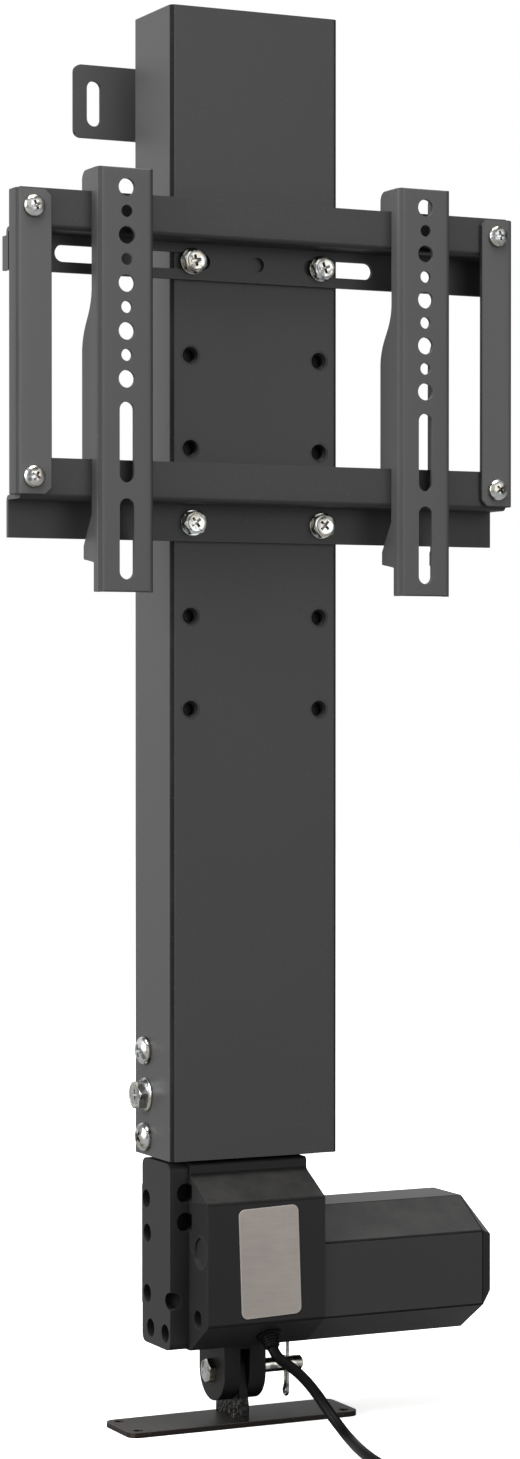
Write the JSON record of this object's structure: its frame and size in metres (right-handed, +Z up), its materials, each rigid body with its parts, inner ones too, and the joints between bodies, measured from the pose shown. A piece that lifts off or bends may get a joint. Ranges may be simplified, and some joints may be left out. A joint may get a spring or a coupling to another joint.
{
  "type": "motorised television lift",
  "caption": "Motor-driven telescopic column that raises a flat television, on a gearbox with a hinged foot, with a hook-on bracket frame and a wall bracket.",
  "frame": {"origin": "on the floor, on the axis of the telescopic column, at the underside of the foot plate", "axes": "+Z up along the column, -Y towards the television, +X to the right, where the motor lies"},
  "size_m": [0.2952, 0.3003, 0.768],
  "materials": {
    "column_paint": "satin powder coat",
    "frame_paint": "satin powder coat",
    "gearbox_paint": "fine textured paint on a casting",
    "motor_paint": "satin paint",
    "foot_paint": "satin powder coat",
    "zinc": "bright zinc plate",
    "steel": "machined and oiled",
    "brass": "machined",
    "nylon": "smooth moulded",
    "insert_black": "black zinc plate",
    "cable_sheath": "matte black sheath",
    "cable_moulding": "fine textured black"
  },
  "bodies": {
    "base": {"gearbox_case": "gearbox_paint", "side_block": "gearbox_paint", "gearbox_cover": "gearbox_paint", "cover_screws": "zinc", "case_plug": "gearbox_paint", "motor_housing": "motor_paint", "motor_end_cap": "motor_paint", "motor_screws": "zinc", "rod_bearings": "steel", "shaft_bearing": "steel", "column_socket": "column_paint", "socket_screws": "zinc", "inner_column": "column_paint", "inner_glides": "nylon", "lower_nut": "brass", "rear_bracket": "frame_paint", "bracket_screws": "zinc", "hinge_fork": "gearbox_paint", "hinge_pin": "zinc", "hairpin_clip": "zinc", "cable_gland": "cable_moulding", "cable_run": "cable_sheath", "cable_coil": "cable_sheath", "cable_plug": "cable_moulding"},
    "foot": {"foot_plate": "foot_paint", "foot_tongue": "foot_paint"},
    "pinion": {"bevel_pinion": "steel"},
    "drive": {"drive_rod": "steel", "bevel_gear": "steel"},
    "middle": {"middle_column": "column_paint", "middle_head": "column_paint", "middle_glides": "nylon", "screw_bearing": "steel"},
    "screw": {"hollow_screw": "steel", "upper_nut": "brass", "hex_bush": "brass"},
    "outer": {"outer_column": "column_paint", "top_cap": "column_paint", "lift_tube": "steel", "outer_guides": "nylon", "guide_screws": "zinc", "guide_bolts": "zinc", "thread_inserts": "insert_black", "upper_rail": "frame_paint", "lower_rail": "frame_paint", "rail_bolts": "zinc", "left_bar": "frame_paint", "right_bar": "frame_paint", "bar_screws": "zinc"},
    "arm_left": {"left_arm": "frame_paint"},
    "arm_right": {"right_arm": "frame_paint"}
  },
  "joints": [
    {"name": "outer_slide", "type": "slide", "parent": "middle", "child": "outer", "axis": [0, 0, 1], "range_m": [0, 0.45]},
    {"name": "middle_slide", "type": "slide", "parent": "base", "child": "middle", "axis": [0, 0, 1], "range_m": [0, 0.45]},
    {"name": "drive_spin", "type": "hinge", "parent": "base", "child": "drive", "pos_m": [0, 0, 0.1], "axis": [0, 0, 1], "range_deg": [0, 16201]},
    {"name": "pinion_spin", "type": "hinge", "parent": "base", "child": "pinion", "pos_m": [0, 0, 0.081], "axis": [1, 0, 0], "range_deg": [-16201, 0]},
    {"name": "screw_spin", "type": "hinge", "parent": "middle", "child": "screw", "pos_m": [0, 0, 0.4], "axis": [0, 0, 1], "range_deg": [0, 16201]},
    {"name": "foot_hinge", "type": "hinge", "parent": "base", "child": "foot", "pos_m": [-0.002, 0, 0.029], "axis": [1, 0, 0], "range_deg": [-75, 75]},
    {"name": "left_arm_slide", "type": "slide", "parent": "outer", "child": "arm_left", "axis": [1, 0, 0], "range_m": [-0.022, 0.07]},
    {"name": "right_arm_slide", "type": "slide", "parent": "outer", "child": "arm_right", "axis": [1, 0, 0], "range_m": [-0.07, 0.022]}
  ],
  "couplings": [
    {"joint": "middle_slide", "follows": "outer_slide", "ratio": 1},
    {"joint": "drive_spin", "follows": "outer_slide", "rad_per_m": 628.32},
    {"joint": "pinion_spin", "follows": "outer_slide", "rad_per_m": -628.32},
    {"joint": "screw_spin", "follows": "outer_slide", "rad_per_m": 628.32}
  ]
}
